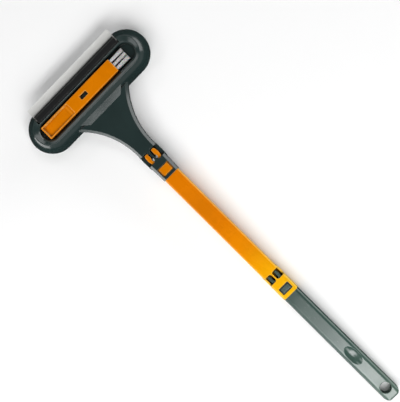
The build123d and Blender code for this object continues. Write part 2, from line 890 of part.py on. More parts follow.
def spigot(mouth, arm_inner, crotch_radius, reaches, arm_start, arm_end, tongue_width, tongue_length):
    """A plug with a forked nose, and a channel in its front face for the latch tongue."""
    width = bore_width - 2 * spigot_gap
    height = bore_height - 2 * spigot_gap
    nose = arm_end - arm_start
    channel_width = tongue_width + 2 * tongue_side_gap
    channel_length = tongue_length + tongue_side_gap
    with BuildPart() as plug:
        extrude(bore_section(mouth), amount=plug_depth)
        extrude(bar_section(width, height, bore_corner, mouth), amount=-arm_end)

        # Crotch between the arms, and the relief outside them
        with BuildSketch(along(mouth + arm_start, -bore_height / 2)) as crotch:
            with Locations((0, crotch_radius)):
                Circle(crotch_radius)
            with Locations((0, crotch_radius + nose / 2)):
                Rectangle(2 * arm_inner, nose)
        extrude(amount=bore_height, mode=Mode.SUBTRACT)
        extrude(arm_relief(mouth, arm_start, nose, reaches), amount=bore_height, mode=Mode.SUBTRACT)
        tips = plug.edges().filter_by(Axis(pole_plane.origin, pole_plane.z_dir)).group_by(
            Axis(pole_plane.origin, pole_plane.y_dir)
        )[-1]
        fillet(tips, radius=arm_corner)

        # Channel for the tongue, with a round seat at its root
        root = mouth - tongue_setback
        channel_floor = height / 2 - tongue_thickness - press_room
        with BuildSketch(along(root + channel_length / 2, channel_floor)) as channel:
            Rectangle(channel_width, channel_length)
        extrude(amount=bore_height, mode=Mode.SUBTRACT)
        with BuildSketch(side_plane(root, height / 2 - tongue_thickness / 2)) as seat:
            seat_radius = tongue_thickness / 2 + hinge_gap
            Circle(seat_radius)
            with Locations((0, seat_radius)):
                Rectangle(2 * seat_radius, 2 * seat_radius)
        extrude(amount=channel_width / 2, both=True, mode=Mode.SUBTRACT)
    return plug.part


def latch(mouth, tongue_length, button_start, button_length, button_width, button_top):
    """A springy tongue on a round root, with the button that locks in the window."""
    top = bore_height / 2 - spigot_gap
    root = mouth - tongue_setback
    with BuildPart() as tongue:
        with BuildSketch(side_plane(root, top - tongue_thickness / 2)) as blade:
            Circle(tongue_thickness / 2)
            with Locations((tongue_length / 2, 0)):
                Rectangle(tongue_length, tongue_thickness)
        extrude(amount=button_width / 2, both=True)
        button_middle = mouth + button_start + button_length / 2
        with BuildSketch(along(button_middle, top - tongue_thickness / 2)) as pad:
            RectangleRounded(button_width, button_length, latch_corner)
        extrude(amount=button_top - top + tongue_thickness / 2)
        top_edges = tongue.faces().sort_by(Axis(pole_plane.origin, pole_plane.z_dir))[-1].edges()
        fillet(top_edges, radius=button_edge)
    return tongue.part


head_button_start = head_latch_start + head_button_gap
head_button_length = head_latch_length - 2 * head_button_gap
head_button_width = head_latch_width - 2 * button_side_gap
pole_button_start = pole_latch_start + pole_button_gap
pole_button_length = pole_latch_length - 2 * pole_button_gap
pole_button_width = pole_latch_width - 2 * button_side_gap
head_tongue_length = tongue_setback + head_button_start + head_button_length + tongue_tip
pole_tongue_length = tongue_setback + pole_button_start + pole_button_length + tongue_tip

# Middle pole: tube with the lower socket moulded into its end
with BuildPart() as middle_pole:
    extrude(bar_section(bar_width, bar_thickness, bar_corner, neck_mouth), amount=pole_length)
    extrude(end_plan(pole_mouth, pole_length, mouth_corner), amount=2 * bar_thickness, mode=Mode.INTERSECT)
    pole_cheek_start = pole_mouth + pole_window_start - pole_window_corner
    pole_cheek_end = pole_mouth + pole_window_start + pole_window_length + pole_window_corner
    flank_half = bar_thickness / 2 - bar_corner
    extrude(cheek(pole_cheek_start, pole_cheek_end, bar_width), amount=flank_half, both=True)
    extrude(collar(pole_mouth, pole_cheek_end, bar_width), amount=flank_half, both=True)
    extrude(bore_section(neck_mouth), amount=pole_length, mode=Mode.SUBTRACT)
    extrude(key_rib(pole_mouth, pole_window_start, socket_depth), amount=bore_height)
    extrude(
        windows(
            pole_mouth,
            pole_window_start,
            pole_window_length,
            pole_window_corner,
            pole_rib_width,
            bar_width + 2 * cheek_bulge,
        ),
        amount=bar_thickness,
        mode=Mode.SUBTRACT,
    )
    extrude(
        latch_window(pole_mouth, pole_latch_start, pole_latch_length, pole_latch_width),
        amount=bar_thickness,
        mode=Mode.SUBTRACT,
    )

with BuildPart() as middle_pole_spigot:
    head_arm_end = head_window_start + head_window_length - arm_end_gap
    add(
        spigot(
            neck_mouth,
            head_arm_inner,
            head_crotch_radius,
            head_arm_reaches,
            head_window_start,
            head_arm_end,
            head_button_width,
            head_tongue_length,
        )
    )

with BuildPart() as middle_pole_latch:
    add(
        latch(
            neck_mouth,
            head_tongue_length,
            head_button_start,
            head_button_length,
            head_button_width,
            neck_thickness / 2 - button_sink,
        )
    )

# Grip: bar with a rounded end, a thumb dish and a hanging hole
with BuildPart() as grip_handle:
    extrude(bar_section(bar_width, bar_thickness, grip_corner, pole_mouth), amount=grip_length)
    extrude(end_plan(grip_end, grip_length, grip_end_corner), amount=2 * bar_thickness, mode=Mode.INTERSECT)
    end_side = end_profile(grip_end, grip_length, bar_thickness, grip_end_edge)
    extrude(end_side, amount=bar_width, mode=Mode.INTERSECT)
    extrude(bore_section(pole_mouth), amount=plug_depth, mode=Mode.SUBTRACT)

    # Thumb dish: part of an egg turned about a line above the front face
    egg_radius = (dish_width**2 / 4 + dish_depth**2) / (2 * dish_depth)
    egg_rise = egg_radius - dish_depth
    egg_reach = dish_length / 2 / math.sqrt(1 - (egg_rise / egg_radius) ** 2)
    dish_plane = along(grip_end + dish_inset, bar_thickness / 2 + egg_rise)
    with BuildSketch(dish_plane) as egg:
        Ellipse(egg_radius, egg_reach)
        with Locations((-egg_radius, 0)):
            Rectangle(2 * egg_radius, 2 * egg_reach, mode=Mode.SUBTRACT)
    revolve(egg.sketch, axis=Axis(dish_plane.origin, dish_plane.y_dir), mode=Mode.SUBTRACT)

    # Hanging hole with eased rims
    with BuildSketch(along(grip_end + hang_inset, -bar_thickness)) as hole:
        Circle(hang_radius)
    extrude(amount=2 * bar_thickness, mode=Mode.SUBTRACT)
    chamfer(grip_handle.edges().filter_by(GeomType.CIRCLE).sort_by(SortBy.RADIUS)[-2:], length=hang_edge)

with BuildPart() as grip_spigot:
    pole_arm_end = pole_window_start + pole_window_length - arm_end_gap
    add(
        spigot(
            pole_mouth,
            pole_arm_inner,
            pole_crotch_radius,
            pole_arm_reaches,
            pole_window_start,
            pole_arm_end,
            pole_button_width,
            pole_tongue_length,
        )
    )

with BuildPart() as grip_latch:
    add(
        latch(
            pole_mouth,
            pole_tongue_length,
            pole_button_start,
            pole_button_length,
            pole_button_width,
            bar_thickness / 2 - button_sink,
        )
    )

head_cover.part.label = "head_cover"
export_step(head_cover.part, "parts/head_cover.step")
head_base.part.label = "head_base"
export_step(head_base.part, "parts/head_base.step")
cover_screws.part.label = "cover_screws"
export_step(cover_screws.part, "parts/cover_screws.step")
hook_sheet.part.label = "hook_sheet"
export_step(hook_sheet.part, "parts/hook_sheet.step")
pad_foam.part.label = "pad_foam"
export_step(pad_foam.part, "parts/pad_foam.step")
pad_cloth.part.label = "pad_cloth"
export_step(pad_cloth.part, "parts/pad_cloth.step")
pad_backing.part.label = "pad_backing"
export_step(pad_backing.part, "parts/pad_backing.step")
pad_binding.part.label = "pad_binding"
export_step(pad_binding.part, "parts/pad_binding.step")
squeegee_carrier.part.label = "squeegee_carrier"
export_step(squeegee_carrier.part, "parts/squeegee_carrier.step")
squeegee_clamp.part.label = "squeegee_clamp"
export_step(squeegee_clamp.part, "parts/squeegee_clamp.step")
squeegee_blade.part.label = "squeegee_blade"
export_step(squeegee_blade.part, "parts/squeegee_blade.step")
groove_brush_handle.part.label = "groove_brush_handle"
export_step(groove_brush_handle.part, "parts/groove_brush_handle.step")
groove_brush_bristles.part.label = "groove_brush_bristles"
export_step(groove_brush_bristles.part, "parts/groove_brush_bristles.step")
tuft_staples.part.label = "tuft_staples"
export_step(tuft_staples.part, "parts/tuft_staples.step")
middle_pole.part.label = "middle_pole"
export_step(middle_pole.part, "parts/middle_pole.step")
middle_pole_spigot.part.label = "middle_pole_spigot"
export_step(middle_pole_spigot.part, "parts/middle_pole_spigot.step")
middle_pole_latch.part.label = "middle_pole_latch"
export_step(middle_pole_latch.part, "parts/middle_pole_latch.step")
grip_handle.part.label = "grip_handle"
export_step(grip_handle.part, "parts/grip_handle.step")
grip_spigot.part.label = "grip_spigot"
export_step(grip_spigot.part, "parts/grip_spigot.step")
grip_latch.part.label = "grip_latch"
export_step(grip_latch.part, "parts/grip_latch.step")
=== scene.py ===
import json
import math
import random

import bpy
from mathutils import Matrix, Vector, noise


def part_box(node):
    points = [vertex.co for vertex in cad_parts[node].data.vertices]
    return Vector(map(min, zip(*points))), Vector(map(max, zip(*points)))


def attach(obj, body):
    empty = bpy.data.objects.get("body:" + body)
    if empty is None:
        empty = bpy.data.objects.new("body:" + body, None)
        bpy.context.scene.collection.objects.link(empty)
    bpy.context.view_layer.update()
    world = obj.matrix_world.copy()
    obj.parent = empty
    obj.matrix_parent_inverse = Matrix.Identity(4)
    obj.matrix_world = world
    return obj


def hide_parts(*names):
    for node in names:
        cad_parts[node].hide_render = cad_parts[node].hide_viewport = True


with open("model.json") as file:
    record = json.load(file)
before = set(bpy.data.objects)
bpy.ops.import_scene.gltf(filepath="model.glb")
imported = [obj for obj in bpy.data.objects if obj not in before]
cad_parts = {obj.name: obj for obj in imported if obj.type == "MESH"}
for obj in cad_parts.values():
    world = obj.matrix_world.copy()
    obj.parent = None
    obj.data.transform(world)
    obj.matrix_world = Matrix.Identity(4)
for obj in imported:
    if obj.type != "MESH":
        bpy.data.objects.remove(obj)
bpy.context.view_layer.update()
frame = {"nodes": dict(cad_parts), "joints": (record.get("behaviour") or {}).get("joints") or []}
nodes = frame["nodes"]
joints = {joint["name"]: joint for joint in frame["joints"]}

MM = 0.001

# Directions of the pole, whose axis leans down to the grip's end
to_grip = Vector(joints["pole_pull"]["axis"])
ahead = -to_grip
side = Vector((1, 0, 0))

# Camera: a long lens above the pole, turned so that the head is up on the left
PHOTO_WIDTH = 400
SENSOR = 36.0
FOCAL_PIXELS = 1000
CLIP_START = 0.01
CLIP_END = 20
CAMERA_PLACE = Vector((107.3, 5.9, 1300.3)) * MM
CAMERA_AIM = Vector((2.3, 57.0, 29.0)) * MM
CAMERA_ROLL = math.radians(45.18)


def make_camera():
    data = bpy.data.cameras.new("camera")
    data.sensor_fit = "HORIZONTAL"
    data.sensor_width = SENSOR
    data.lens = SENSOR * FOCAL_PIXELS / PHOTO_WIDTH
    data.clip_start = CLIP_START
    data.clip_end = CLIP_END
    camera = bpy.data.objects.new("camera", data)
    bpy.context.collection.objects.link(camera)
    back = (CAMERA_PLACE - CAMERA_AIM).normalized()
    along = (ahead - back * ahead.dot(back)).normalized()
    across = along.cross(back)
    right = across * math.cos(CAMERA_ROLL) - along * math.sin(CAMERA_ROLL)
    up = across * math.sin(CAMERA_ROLL) + along * math.cos(CAMERA_ROLL)
    axes = Matrix((right, up, back)).transposed().to_4x4()
    camera.matrix_world = Matrix.Translation(CAMERA_PLACE) @ axes
    bpy.context.scene.camera = camera


# Materials

WHITE = (1, 1, 1, 1)
BLACK = (0, 0, 0, 1)
AMBER = (1.0, 0.6, 0.08, 1)
# Near black, painted into gaps and corners as shade
GAP_SHADE_COLOUR = (0.005, 0.004, 0.003, 1)

BEVEL_SAMPLES = 6
SHADE_SAMPLES = 8

# How far a rounded normal may stray, as the cosine, before an edge gets the full painted highlight
HIGHLIGHT_COSINE = 0.87

# Openness at which a gap gets the full painted shade, and at which it gets none
FULL_SHADE_OPENNESS = 0.25
NO_SHADE_OPENNESS = 0.8


def linear(red, green, blue):
    """A display colour from 0 to 255 as scene values."""
    values = []
    for channel in (red, green, blue):
        share = channel / 255
        values.append(share / 12.92 if share <= 0.04045 else ((share + 0.055) / 1.055) ** 2.4)
    return (*values, 1.0)


class Shader:
    """A material's node tree, with short calls for the nodes that the finishes use."""

    def __init__(self, name):
        self.material = bpy.data.materials.new(name)
        self.material.use_nodes = True
        self.tree = self.material.node_tree
        self.surface = self.tree.nodes["Principled BSDF"]
        self.place = self.tree.nodes.new("ShaderNodeTexCoord").outputs["Object"]

    def feed(self, socket, value):
        if isinstance(value, bpy.types.NodeSocket):
            self.tree.links.new(value, socket)
        else:
            socket.default_value = value

    def node(self, kind, **inputs):
        made = self.tree.nodes.new(kind)
        for key, value in inputs.items():
            self.feed(made.inputs[key.replace("_", " ")], value)
        return made

    def set(self, **inputs):
        for key, value in inputs.items():
            self.feed(self.surface.inputs[key.replace("_", " ")], value)

    def noise(self, scale, detail=3.0, roughness=0.5, vector=None):
        made = self.node("ShaderNodeTexNoise", Scale=scale, Detail=detail, Roughness=roughness)
        self.feed(made.inputs["Vector"], vector or self.place)
        return made.outputs["Fac"]

    def cells(self, scale, vector):
        made = self.node("ShaderNodeTexVoronoi", Scale=scale)
        self.feed(made.inputs["Vector"], vector)
        return made.outputs["Distance"]

    def spread(self, value, low, high, from_low=0.0, from_high=1.0):
        made = self.node("ShaderNodeMapRange", Value=value)
        made.inputs["From Min"].default_value = from_low
        made.inputs["From Max"].default_value = from_high
        made.inputs["To Min"].default_value = low
        made.inputs["To Max"].default_value = high
        return made.outputs["Result"]

    def mix(self, factor, first, second):
        made = self.tree.nodes.new("ShaderNodeMix")
        made.data_type = "RGBA"
        self.feed(made.inputs[0], factor)
        self.feed(made.inputs[6], first)
        self.feed(made.inputs[7], second)
        return made.outputs[2]

    def stops(self, value, colours):
        made = self.tree.nodes.new("ShaderNodeValToRGB")
        ramp = made.color_ramp
        while len(ramp.elements) < len(colours):
            ramp.elements.new(1.0)
        for element, (place, colour) in zip(ramp.elements, colours):
            element.position = place
            element.color = colour
        self.feed(made.inputs["Fac"], value)
        return made.outputs["Color"]

    def maths(self, kind, first, second=0.0):
        made = self.tree.nodes.new("ShaderNodeMath")
        made.operation = kind
        self.feed(made.inputs[0], first)
        self.feed(made.inputs[1], second)
        return made.outputs["Value"]

    def vector(self, kind, first, second):
        made = self.tree.nodes.new("ShaderNodeVectorMath")
        made.operation = kind
        self.feed(made.inputs[0], first)
        self.feed(made.inputs[1], second)
        return made

    def reach(self, origin, direction, length):
        """Share of the way along a direction from an origin, from 0 to 1."""
        shifted = self.vector("SUBTRACT", self.place, origin).outputs["Vector"]
        distance = self.vector("DOT_PRODUCT", shifted, direction).outputs["Value"]
        return self.spread(distance, 0.0, 1.0, 0.0, length)

    def stretched(self, factors):
        """The place, stretched along the axes, for streaks and weaves."""
        return self.vector("MULTIPLY", self.place, factors).outputs["Vector"]

    def soft_edge(self, radius):
        """A normal that rounds off sharp edges, and a mask that is bright on them, for painting highlights
        there.
        """
        bevel = self.tree.nodes.new("ShaderNodeBevel")
        bevel.samples = BEVEL_SAMPLES
        bevel.inputs["Radius"].default_value = radius
        flat = self.tree.nodes.new("ShaderNodeNewGeometry").outputs["Normal"]
        same = self.vector("DOT_PRODUCT", bevel.outputs["Normal"], flat).outputs["Value"]
        return bevel.outputs["Normal"], self.spread(same, 1.0, 0.0, HIGHLIGHT_COSINE, 1.0)

    def crevice(self, reach):
        """A mask that is bright in narrow gaps and corners, where shade is painted in."""
        open_sky = self.node("ShaderNodeAmbientOcclusion", Distance=reach)
        open_sky.samples = SHADE_SAMPLES
        return self.spread(open_sky.outputs["AO"], 1.0, 0.0, FULL_SHADE_OPENNESS, NO_SHADE_OPENNESS)

    def relief(self, height, distance, strength, normal=None):
        bump = self.node("ShaderNodeBump", Height=height, Distance=distance, Strength=strength)
        if normal:
            self.feed(bump.inputs["Normal"], normal)
        self.set(Normal=bump.outputs["Normal"])


# Scale, detail and roughness of the noises in moulded plastic
CLOUDS = (30.0, 4.0, 0.6)
HIGHLIGHT_PATCHES = (260.0, 4.0, 0.7)
SCRATCHES = (700.0, 2.0, 0.8)
WIPE = (24.0, 3.0, 0.6)

SCRATCH_STRETCH = (1.0, 0.06, 1.0)
CLOUD_SHADE = 0.12
# How far the painted gap shade looks for nearby surfaces
SHADE_REACH = 5.0 * MM
GRAIN_STRENGTH = 0.5


def moulded(
    name,
    tint,
    gloss,
    highlight_tint,
    shader=None,
    grain=1500.0,
    edge=0.4 * MM,
    highlight_strength=0.75,
    depth=0.02 * MM,
    ior=1.5,
    shine=WHITE,
    gap_shade=0.9,
):
    """Moulded plastic: flow clouds, fine grain, hairline scratches, a painted highlight on its edges and
    painted shade in its gaps.
    """
    shader = shader or Shader(name)
    normal, edge_highlight = shader.soft_edge(edge)
    clouds = shader.noise(*CLOUDS)
    deeper = shader.mix(CLOUD_SHADE, tint, BLACK)
    body = shader.mix(shader.spread(clouds, 0.0, 1.0, 0.4, 0.65), tint, deeper)
    # Painted highlight: edges turn towards the edge colour, in patches
    highlight_patches = shader.spread(shader.noise(*HIGHLIGHT_PATCHES), highlight_strength * 0.6, highlight_strength, 0.45, 0.75)
    highlighted = shader.mix(shader.maths("MULTIPLY", edge_highlight, highlight_patches), body, highlight_tint)
    # Painted shade: the colour turns near black in narrow gaps and corners
    gap_shade_mask = shader.maths("MULTIPLY", shader.crevice(SHADE_REACH), gap_shade)
    shader.set(Base_Color=shader.mix(gap_shade_mask, highlighted, GAP_SHADE_COLOUR))
    scratches = shader.noise(*SCRATCHES, shader.stretched(SCRATCH_STRETCH))
    wipe = shader.noise(*WIPE)
    rough = shader.spread(wipe, gloss * 0.85, gloss * 1.25, 0.35, 0.65)
    scuffed = shader.spread(scratches, 0.0, 0.12, 0.62, 0.78)
    shader.set(Roughness=shader.maths("ADD", rough, scuffed), IOR=ior, Specular_Tint=shine)
    shader.relief(shader.noise(grain, 2.0, 0.6), depth, GRAIN_STRENGTH, normal)
    return shader.material


def green_shell():
    # The last colour is a painted highlight for the edges
    return moulded("green_shell", linear(30, 45, 44), 0.16, linear(110, 124, 120), edge=0.5 * MM)


def dark_plate():
    tint = linear(28, 40, 39)
    # Pale edge colour: a painted highlight
    edge_highlight = linear(80, 92, 90)
    return moulded("dark_plate", tint, 0.42, edge_highlight, grain=800.0, depth=0.04 * MM)


def black_rail():
    """Extruded rail: long fine draw lines, with a painted highlight on its edges."""
    shader = Shader("black_rail")
    normal, edge_highlight = shader.soft_edge(0.3 * MM)
    lines = shader.noise(1200.0, 3.0, 0.6, shader.stretched((0.02, 1.0, 1.0)))
    body = shader.mix(lines, linear(8, 9, 10), linear(18, 19, 20))
    # Painted highlight: edges mixed halfway to a pale grey
    shader.set(Base_Color=shader.mix(shader.maths("MULTIPLY", edge_highlight, 0.5), body, linear(96, 100, 92)))
    shader.set(Roughness=shader.spread(lines, 0.24, 0.4), IOR=1.42)
    shader.relief(lines, 0.03 * MM, 0.6, normal)
    return shader.material


def brush_orange():
    tint = linear(212, 118, 0)
    # Pale edge colour: a painted highlight on the brush's rims; moulded also paints shade in its gaps
    edge_highlight = linear(255, 216, 130)
    return moulded("brush_orange", tint, 0.24, edge_highlight, edge=1.3 * MM, highlight_strength=1.0, shine=AMBER, gap_shade=0.45)


def pole_orange():
    """Orange that turns yellow towards the grip, as the tube's wall thins, with a painted highlight along
    both sides.
    """
    shader = Shader("pole_orange")
    low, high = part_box("middle_pole")
    share = shader.reach(Vector((0, high.y, high.z)), to_grip, high.y - low.y)
    tint = shader.stops(
        share,
        [
            (0.0, linear(214, 115, 0)),
            (0.4, linear(218, 118, 0)),
            (0.62, linear(226, 133, 0)),
            (0.8, linear(234, 160, 0)),
            (1.0, linear(244, 184, 6)),
        ],
    )
    # Painted highlight: the colour turns pale yellow towards the tube's sides
    across = shader.maths("ABSOLUTE", shader.vector("DOT_PRODUCT", shader.place, side).outputs["Value"])
    side_highlight = shader.spread(across, 0.0, 0.8, high.x * 0.78, high.x)
    tint = shader.mix(side_highlight, tint, linear(254, 228, 120))
    edge_highlight = linear(255, 222, 120)
    return moulded("pole_orange", tint, 0.26, edge_highlight, shader, edge=0.9 * MM, highlight_strength=0.9, shine=AMBER)


def grip_green():
    """Green painted paler towards the hanging hole, as a painted reflection along the grip."""
    shader = Shader("grip_green")
    low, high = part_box("grip_handle")
    share = shader.reach(Vector((0, high.y, high.z)), to_grip, high.y - low.y)
    tint = shader.stops(
        share,
        [
            (0.0, linear(46, 70, 63)),
            (0.5, linear(54, 79, 72)),
            (1.0, linear(76, 99, 88)),
        ],
    )
    # The pale colour after the gloss is a painted highlight for the edges
    return moulded("grip_green", tint, 0.2, linear(120, 138, 128), shader, grain=900.0, ior=1.62)


def clear_silicone():
    """Milky, slightly dusty silicone, painted paler towards its lip for the light through the thinner
    silicone, with a painted highlight on its edges.
    """
    shader = Shader("clear_silicone")
    normal, edge_highlight = shader.soft_edge(0.25 * MM)
    low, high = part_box("squeegee_blade")
    share = shader.reach(Vector((0, low.y, 0)), Vector((0, 1, 0)), high.y - low.y)
    milk = shader.stops(
        share,
        [
            (0.35, linear(186, 186, 183)),
            (0.7, linear(216, 216, 213)),
            (1.0, linear(240, 240, 238)),
        ],
    )
    dust = shader.noise(900.0, 3.0, 0.7)
    clouds = shader.noise(50.0, 4.0, 0.6, shader.stretched((0.3, 1.0, 1.0)))
    cloudy = shader.mix(shader.spread(clouds, 0.0, 0.2, 0.3, 0.7), milk, linear(170, 170, 168))
    # Painted highlight: edges turn near white
    shader.set(Base_Color=shader.mix(edge_highlight, cloudy, linear(245, 245, 245)))
    shader.set(Roughness=shader.spread(dust, 0.3, 0.5), IOR=1.41, Transmission_Weight=0.3)
    shader.relief(dust, 0.02 * MM, 0.5, normal)
    return shader.material


def steel():
    shader = Shader("screw_steel")
    streaks = shader.noise(400.0, 3.0, 0.7)
    shader.set(Base_Color=shader.mix(streaks, (0.5, 0.5, 0.49, 1), (0.64, 0.64, 0.62, 1)), Metallic=1.0)
    shader.set(Roughness=shader.spread(streaks, 0.22, 0.45))
    shader.relief(streaks, 0.03 * MM, 0.4)
    return shader.material


def hook_tape():
    """Rows of tiny hooks."""
    shader = Shader("hook_tape")
    hooks = shader.cells(1500.0, shader.stretched((1.0, 0.6, 1.0)))
    tint = shader.mix(shader.spread(hooks, 0.0, 1.0, 0.1, 0.6), linear(64, 68, 70), linear(14, 14, 16))
    shader.set(Base_Color=tint, Roughness=0.6)
    shader.relief(hooks, 0.4 * MM, 0.9)
    return shader.material


def knitted(name, light, dark, stitch, depth, stripe=None):
    """Knitted or brushed cloth with small loops, and stripes if a second colour is given."""
    shader = Shader(name)
    loops = shader.cells(stitch, shader.stretched((1.0, 0.72, 1.0)))
    fuzz = shader.noise(stitch * 2.5, 3.0, 0.7)
    tint = shader.mix(shader.spread(loops, 0.0, 1.0, 0.0, 0.8), light, dark)
    if stripe:
        bands = shader.node("ShaderNodeTexWave", Scale=9.0, Distortion=1.2)
        bands.bands_direction = "X"
        shader.feed(bands.inputs["Vector"], shader.place)
        tint = shader.mix(shader.spread(bands.outputs["Fac"], 0.0, 1.0, 0.55, 0.8), tint, stripe)
    shader.set(Base_Color=shader.mix(shader.spread(fuzz, 0.0, 0.25), tint, WHITE))
    shader.set(Roughness=0.95, Sheen_Weight=0.5, Sheen_Roughness=0.4)
    shader.relief(shader.maths("ADD", loops, shader.maths("MULTIPLY", fuzz, 0.5)), depth, 0.9)
    return shader.material


def nylon():
    """Nylon strands, a little translucent."""
    shader = Shader("nylon")
    streaks = shader.noise(1500.0, 2.0, 0.6, shader.stretched((0.05, 1.0, 1.0)))
    shader.set(Base_Color=shader.mix(streaks, linear(188, 184, 184), linear(226, 224, 224)))
    shader.set(Roughness=0.35, Subsurface_Weight=0.2, Subsurface_Scale=0.001)
    return shader.material


def dress_nodes():
    """Gives every CAD node its finish."""
    green = green_shell()
    orange = brush_orange()
    black = black_rail()
    pole = pole_orange()
    grip = grip_green()
    metal = steel()
    loops = knitted("pad_loop", linear(205, 205, 200), linear(150, 150, 146), 1200.0, 0.2 * MM)
    finishes = {
        "head_cover": green,
        "head_base": dark_plate(),
        "cover_screws": metal,
        "hook_sheet": hook_tape(),
        "pad_foam": loops,
        "pad_cloth": loops,
        "pad_backing": loops,
        "pad_binding": loops,
        "squeegee_carrier": black,
        "squeegee_clamp": black,
        "squeegee_blade": clear_silicone(),
        "groove_brush_handle": orange,
        "groove_brush_bristles": nylon(),
        "tuft_staples": metal,
        "middle_pole": pole,
        "middle_pole_spigot": orange,
        "middle_pole_latch": orange,
        "grip_handle": grip,
        "grip_spigot": grip,
        "grip_latch": grip,
    }
    for name, material in finishes.items():
        mesh = nodes[name].data
        mesh.materials.clear()
        mesh.materials.append(material)
    return loops


# Small meshes


def add_mesh(name, points, faces, material, smooth=True):
    data = bpy.data.meshes.new(name)
    data.from_pydata([tuple(point) for point in points], [], faces)
    data.materials.append(material)
    for polygon in data.polygons:
        polygon.use_smooth = smooth
    made = bpy.data.objects.new(name, data)
    bpy.context.collection.objects.link(made)
    return made


def stadium_ring(middle, length, depth, height, count):
    """Evenly spaced points round a stadium outline, anticlockwise from above, starting at +Y."""
    radius = depth / 2
    straight = length - depth
    total = 2 * straight + 2 * math.pi * radius
    points = []
    for step in range(count):
        walk = step / count * total + straight / 2
        if walk < straight:
            x, y = straight / 2 - walk, radius
        elif walk < straight + math.pi * radius:
            angle = (walk - straight) / radius
            x, y = -straight / 2 - radius * math.sin(angle), radius * math.cos(angle)
        elif walk < 2 * straight + math.pi * radius:
            x, y = walk - straight - math.pi * radius - straight / 2, -radius
        else:
            angle = (walk - 2 * straight - math.pi * radius) / radius
            x, y = straight / 2 + radius * math.sin(angle), -radius * math.cos(angle)
            if angle > math.pi:
                x, y = straight / 2 - (angle - math.pi) * radius, radius
        points.append(Vector((middle.x + x, middle.y + y, height)))
    return points


def loft(rings, close_ends=True):
    """Quads between rings of equal length."""
    count = len(rings[0])
    points = [point for ring in rings for point in ring]
    faces = []
    for level in range(len(rings) - 1):
        for step in range(count):
            after = (step + 1) % count
            low = level * count
            faces.append((low + step, low + after, low + count + after, low + count + step))
    if close_ends:
        faces.append(tuple(reversed(range(count))))
        top = (len(rings) - 1) * count
        faces.append(tuple(range(top, top + count)))
    return points, faces


# Scrub pad

PAD_RING = 240
PAD_SPANS = 12
PAD_SHRINK = 1.0 * MM
PAD_VOXEL = 3.0 * MM
PAD_PRESSURE = 4.0
PAD_FRAMES = 20
PAD_CAP = 1.6 * MM
PILE_SCALE = 420.0
PILE_LENGTH = 0.7 * MM
BACKING_DEPTH = 0.1 * MM

# How far the pad's side draws in, as a share of its draw-in, at shares of its height
PAD_PROFILE = [
    (1.3, 0.0),
    (0.7, 0.03),
    (0.3, 0.12),
    (0.05, 0.26),
    (0.0, 0.44),
    (0.12, 0.62),
    (0.5, 0.8),
    (1.0, 0.92),
    (1.0, 1.0),
]


def pad_form(cloth):
    """The pad's closed form before it puffs, a little smaller than the pad."""
    low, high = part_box("pad_cloth")
    back_low, back_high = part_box("pad_backing")
    middle = (low + high) / 2
    draw_in = back_low.x - low.x
    tall = back_high.z - low.z
    outline = [(PAD_SHRINK + draw_in * inset, low.z + tall * share) for inset, share in PAD_PROFILE]
    floor_inset, top_inset = outline[0][0], outline[-1][0]
    deepest = (high.y - low.y) / 2
    under = []
    over = []
    for step in range(1, PAD_SPANS):
        share = step / PAD_SPANS
        under.append((deepest + (floor_inset - deepest) * share, low.z))
        over.append((top_inset + (deepest - top_inset) * share, back_high.z))
    rings = []
    for inset, height in under + outline + over:
        size = 2 * inset
        rings.append(stadium_ring(middle, high.x - low.x - size, high.y - low.y - size, height, PAD_RING))
    points, faces = loft(rings)
    return add_mesh("scrub_pad", points, faces, cloth)


def applied(piece):
    """Turns a piece's modifiers into its mesh."""
    shaped = piece.evaluated_get(bpy.context.evaluated_depsgraph_get())
    mesh = bpy.data.meshes.new_from_object(shaped)
    piece.modifiers.clear()
    piece.data = mesh


def puff(pad, ceiling):
    """Lets air pressure swell the cloth, held at its backing, by no more than the cap."""
    remesh = pad.modifiers.new("remesh", "REMESH")
    remesh.mode = "VOXEL"
    remesh.voxel_size = PAD_VOXEL
    applied(pad)
    before = [vertex.co.copy() for vertex in pad.data.vertices]
    held = pad.vertex_groups.new(name="held")
    backing = [index for index, place in enumerate(before) if place.z > ceiling - PAD_VOXEL]
    held.add(backing, 1.0, "REPLACE")
    cloth = pad.modifiers.new("cloth", "CLOTH")
    cloth.settings.use_pressure = True
    cloth.settings.uniform_pressure_force = PAD_PRESSURE
    cloth.settings.vertex_group_mass = "held"
    cloth.settings.effector_weights.gravity = 0
    cloth.point_cache.frame_end = PAD_FRAMES
    scene = bpy.context.scene
    for step in range(1, PAD_FRAMES + 1):
        scene.frame_set(step)
    applied(pad)
    scene.frame_set(1)
    for vertex, start in zip(pad.data.vertices, before):
        shift = vertex.co - start
        if shift.length > PAD_CAP:
            shift *= PAD_CAP / shift.length
        vertex.co = start + shift


